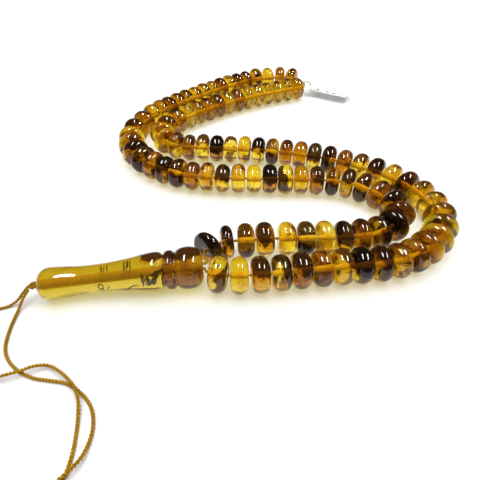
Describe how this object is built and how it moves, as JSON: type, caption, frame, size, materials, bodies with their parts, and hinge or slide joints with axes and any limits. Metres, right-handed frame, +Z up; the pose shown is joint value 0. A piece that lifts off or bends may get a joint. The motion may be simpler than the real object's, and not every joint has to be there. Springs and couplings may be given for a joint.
{
  "type": "misbaha prayer beads",
  "caption": "String of translucent round-rimmed prayer beads on a doubled thread, closed by a long turned imam with a knot, two thread tails and a card tag.",
  "frame": {"origin": "middle of the laid-out string on the surface that it lies on, without the loose tails", "axes": "+Z up from the surface; +Y from the imam's side to the far turn, the long way of the laid-out S; +X from the imam towards the right-hand bend"},
  "size_m": [0.1327, 0.1894, 0.0111],
  "materials": {
    "amber": "polished, translucent honey to cognac with dark clouds",
    "dark_amber": "polished, translucent honey, brown and nearly black",
    "clear_amber": "polished, clear lemon yellow with dark specks",
    "thread": "twisted ochre thread",
    "card": "smooth white card"
  },
  "bodies": {
    "string": {"thread": "thread", "imam_knot": "thread", "tail_a": "thread", "tail_b": "thread", "tail_knot": "thread", "beads_p17_24": "dark_amber", "beads_p25_33": "dark_amber", "beads_p39_49": "dark_amber", "beads_q15_22": "dark_amber", "beads_q23_31": "dark_amber", "beads_q36_47": "dark_amber"},
    "imam": {"imam": "clear_amber"},
    "tag": {"tag_loop": "thread", "tag": "card"},
    "bead_p01": {"bead_p01": "amber"},
    "bead_p02": {"bead_p02": "amber"},
    "bead_p03": {"bead_p03": "amber"},
    "bead_p04": {"bead_p04": "amber"},
    "bead_p05": {"bead_p05": "amber"},
    "bead_p06": {"bead_p06": "amber"},
    "bead_p07": {"bead_p07": "amber"},
    "bead_p08": {"bead_p08": "amber"},
    "bead_p09": {"bead_p09": "amber"},
    "bead_p10": {"bead_p10": "amber"},
    "bead_p11": {"bead_p11": "amber"},
    "bead_p12": {"bead_p12": "amber"},
    "bead_p13": {"bead_p13": "amber"},
    "bead_p14": {"bead_p14": "amber"},
    "bead_p15": {"bead_p15": "amber"},
    "bead_p16": {"bead_p16": "amber"},
    "bead_p34": {"bead_p34": "amber"},
    "bead_p35": {"bead_p35": "amber"},
    "bead_p36": {"bead_p36": "amber"},
    "bead_p37": {"bead_p37": "amber"},
    "bead_p38": {"bead_p38": "amber"},
    "bead_p50": {"bead_p50": "amber"},
    "bead_q01": {"bead_q01": "amber"},
    "bead_q02": {"bead_q02": "amber"},
    "bead_q03": {"bead_q03": "amber"},
    "bead_q04": {"bead_q04": "amber"},
    "bead_q05": {"bead_q05": "amber"},
    "bead_q06": {"bead_q06": "amber"},
    "bead_q07": {"bead_q07": "amber"},
    "bead_q08": {"bead_q08": "amber"},
    "bead_q09": {"bead_q09": "amber"},
    "bead_q10": {"bead_q10": "amber"},
    "bead_q11": {"bead_q11": "amber"},
    "bead_q12": {"bead_q12": "amber"},
    "bead_q13": {"bead_q13": "amber"},
    "bead_q14": {"bead_q14": "amber"},
    "bead_q32": {"bead_q32": "amber"},
    "bead_q33": {"bead_q33": "amber"},
    "bead_q34": {"bead_q34": "amber"},
    "bead_q35": {"bead_q35": "amber"},
    "bead_q48": {"bead_q48": "amber"},
    "bead_q49": {"bead_q49": "amber"},
    "bead_q50": {"bead_q50": "amber"},
    "bead_q51": {"bead_q51": "amber"}
  },
  "joints": [
    {"name": "p01_spin", "type": "hinge", "parent": "string", "child": "bead_p01", "pos_m": [-0.01095, -0.06518, 0.005], "axis": [0.9861, -0.1661, 0], "continuous": true},
    {"name": "p02_spin", "type": "hinge", "parent": "string", "child": "bead_p02", "pos_m": [-0.0056, -0.06558, 0.005], "axis": [0.9998, 0.018, 0], "continuous": true},
    {"name": "p03_spin", "type": "hinge", "parent": "string", "child": "bead_p03", "pos_m": [-0.00022, -0.06524, 0.005], "axis": [0.9945, 0.1052, 0], "continuous": true},
    {"name": "p04_spin", "type": "hinge", "parent": "string", "child": "bead_p04", "pos_m": [0.00513, -0.06455, 0.005], "axis": [0.9886, 0.1507, 0], "continuous": true},
    {"name": "p05_spin", "type": "hinge", "parent": "string", "child": "bead_p05", "pos_m": [0.01048, -0.06378, 0.005], "axis": [0.9907, 0.1358, 0], "continuous": true},
    {"name": "p06_spin", "type": "hinge", "parent": "string", "child": "bead_p06", "pos_m": [0.01583, -0.06309, 0.005], "axis": [0.9928, 0.12, 0], "continuous": true},
    {"name": "p07_spin", "type": "hinge", "parent": "string", "child": "bead_p07", "pos_m": [0.0212, -0.06247, 0.005], "axis": [0.9942, 0.1077, 0], "continuous": true},
    {"name": "p08_spin", "type": "hinge", "parent": "string", "child": "bead_p08", "pos_m": [0.02647, -0.06194, 0.005], "axis": [0.9955, 0.0947, 0], "continuous": true},
    {"name": "p09_spin", "type": "hinge", "parent": "string", "child": "bead_p09", "pos_m": [0.03163, -0.0613, 0.005], "axis": [0.9883, 0.1524, 0], "continuous": true},
    {"name": "p10_spin", "type": "hinge", "parent": "string", "child": "bead_p10", "pos_m": [0.03668, -0.06014, 0.005], "axis": [0.9563, 0.2923, 0], "continuous": true},
    {"name": "p11_spin", "type": "hinge", "parent": "string", "child": "bead_p11", "pos_m": [0.04143, -0.05812, 0.005], "axis": [0.8734, 0.4871, 0], "continuous": true},
    {"name": "p12_spin", "type": "hinge", "parent": "string", "child": "bead_p12", "pos_m": [0.04575, -0.05527, 0.005], "axis": [0.7931, 0.6091, 0], "continuous": true},
    {"name": "p13_spin", "type": "hinge", "parent": "string", "child": "bead_p13", "pos_m": [0.04952, -0.05173, 0.005], "axis": [0.6561, 0.7547, 0], "continuous": true},
    {"name": "p14_spin", "type": "hinge", "parent": "string", "child": "bead_p14", "pos_m": [0.05247, -0.04718, 0.005], "axis": [0.436, 0.8999, 0], "continuous": true},
    {"name": "p15_spin", "type": "hinge", "parent": "string", "child": "bead_p15", "pos_m": [0.05408, -0.04173, 0.005], "axis": [0.1216, 0.9926, 0], "continuous": true},
    {"name": "p16_spin", "type": "hinge", "parent": "string", "child": "bead_p16", "pos_m": [0.05384, -0.03604, 0.005], "axis": [-0.2061, 0.9785, 0], "continuous": true},
    {"name": "p34_spin", "type": "hinge", "parent": "string", "child": "bead_p34", "pos_m": [-0.02905, 0.00033, 0.005], "axis": [-0.9215, 0.3885, 0], "continuous": true},
    {"name": "p35_spin", "type": "hinge", "parent": "string", "child": "bead_p35", "pos_m": [-0.03349, 0.00369, 0.005], "axis": [-0.6607, 0.7506, 0], "continuous": true},
    {"name": "p36_spin", "type": "hinge", "parent": "string", "child": "bead_p36", "pos_m": [-0.03574, 0.00919, 0.005], "axis": [-0.0534, 0.9986, 0], "continuous": true},
    {"name": "p37_spin", "type": "hinge", "parent": "string", "child": "bead_p37", "pos_m": [-0.03452, 0.0152, 0.005], "axis": [0.4353, 0.9003, 0], "continuous": true},
    {"name": "p38_spin", "type": "hinge", "parent": "string", "child": "bead_p38", "pos_m": [-0.03106, 0.0205, 0.005], "axis": [0.6491, 0.7607, 0], "continuous": true},
    {"name": "p50_spin", "type": "hinge", "parent": "string", "child": "bead_p50", "pos_m": [0.021, 0.05381, 0.005], "axis": [0.8967, 0.4427, 0], "continuous": true},
    {"name": "q01_spin", "type": "hinge", "parent": "string", "child": "bead_q01", "pos_m": [-0.01408, -0.05563, 0.005], "axis": [0.6732, 0.7395, 0], "continuous": true},
    {"name": "q02_spin", "type": "hinge", "parent": "string", "child": "bead_q02", "pos_m": [-0.00915, -0.05295, 0.005], "axis": [0.9834, 0.1814, 0], "continuous": true},
    {"name": "q03_spin", "type": "hinge", "parent": "string", "child": "bead_q03", "pos_m": [-0.00387, -0.05227, 0.005], "axis": [0.9972, 0.0744, 0], "continuous": true},
    {"name": "q04_slide", "type": "slide", "parent": "string", "child": "bead_q04", "axis": [0.9959, 0.0905, 0], "range_m": [0, 0.0008]},
    {"name": "q05_spin", "type": "hinge", "parent": "string", "child": "bead_q05", "pos_m": [0.00767, -0.05143, 0.005], "axis": [0.9993, 0.0367, 0], "continuous": true},
    {"name": "q06_spin", "type": "hinge", "parent": "string", "child": "bead_q06", "pos_m": [0.01296, -0.0513, 0.005], "axis": [0.9999, 0.0105, 0], "continuous": true},
    {"name": "q07_spin", "type": "hinge", "parent": "string", "child": "bead_q07", "pos_m": [0.01826, -0.05124, 0.005], "axis": [0.9999, 0.0148, 0], "continuous": true},
    {"name": "q08_spin", "type": "hinge", "parent": "string", "child": "bead_q08", "pos_m": [0.02356, -0.05108, 0.005], "axis": [0.999, 0.0452, 0], "continuous": true},
    {"name": "q09_spin", "type": "hinge", "parent": "string", "child": "bead_q09", "pos_m": [0.0288, -0.05046, 0.005], "axis": [0.9819, 0.1894, 0], "continuous": true},
    {"name": "q10_spin", "type": "hinge", "parent": "string", "child": "bead_q10", "pos_m": [0.03415, -0.04883, 0.005], "axis": [0.9256, 0.3785, 0], "continuous": true},
    {"name": "q11_spin", "type": "hinge", "parent": "string", "child": "bead_q11", "pos_m": [0.03911, -0.04576, 0.005], "axis": [0.7488, 0.6628, 0], "continuous": true},
    {"name": "q12_spin", "type": "hinge", "parent": "string", "child": "bead_q12", "pos_m": [0.04226, -0.04102, 0.005], "axis": [0.3222, 0.9467, 0], "continuous": true},
    {"name": "q13_spin", "type": "hinge", "parent": "string", "child": "bead_q13", "pos_m": [0.04201, -0.0356, 0.005], "axis": [-0.4091, 0.9125, 0], "continuous": true},
    {"name": "q14_spin", "type": "hinge", "parent": "string", "child": "bead_q14", "pos_m": [0.03882, -0.03075, 0.005], "axis": [-0.6751, 0.7377, 0], "continuous": true},
    {"name": "q32_spin", "type": "hinge", "parent": "string", "child": "bead_q32", "pos_m": [-0.04584, 0.00024, 0.005], "axis": [-0.3341, 0.9426, 0], "continuous": true},
    {"name": "q33_spin", "type": "hinge", "parent": "string", "child": "bead_q33", "pos_m": [-0.04713, 0.00594, 0.005], "axis": [-0.1042, 0.9946, 0], "continuous": true},
    {"name": "q34_spin", "type": "hinge", "parent": "string", "child": "bead_q34", "pos_m": [-0.04671, 0.01239, 0.005], "axis": [0.2007, 0.9797, 0], "continuous": true},
    {"name": "q35_spin", "type": "hinge", "parent": "string", "child": "bead_q35", "pos_m": [-0.04458, 0.01921, 0.005], "axis": [0.3935, 0.9193, 0], "continuous": true},
    {"name": "q48_spin", "type": "hinge", "parent": "string", "child": "bead_q48", "pos_m": [0.00231, 0.06463, 0.005], "axis": [0.927, 0.3751, 0], "continuous": true},
    {"name": "q49_spin", "type": "hinge", "parent": "string", "child": "bead_q49", "pos_m": [0.00812, 0.06639, 0.005], "axis": [0.9788, 0.2046, 0], "continuous": true},
    {"name": "q50_spin", "type": "hinge", "parent": "string", "child": "bead_q50", "pos_m": [0.01414, 0.06692, 0.005], "axis": [0.9995, -0.0313, 0], "continuous": true},
    {"name": "q51_spin", "type": "hinge", "parent": "string", "child": "bead_q51", "pos_m": [0.01981, 0.06542, 0.005], "axis": [0.883, -0.4693, 0], "continuous": true},
    {"name": "imam_spin", "type": "hinge", "parent": "string", "child": "imam", "pos_m": [-0.05575, -0.06825, 0.00439], "axis": [0.991, 0.1291, 0.0343], "continuous": true},
    {"name": "tag_swing", "type": "hinge", "parent": "string", "child": "tag", "pos_m": [0.02525, 0.05895, 0.005], "axis": [0, 0, 1], "range_deg": [-3, 10]}
  ]
}
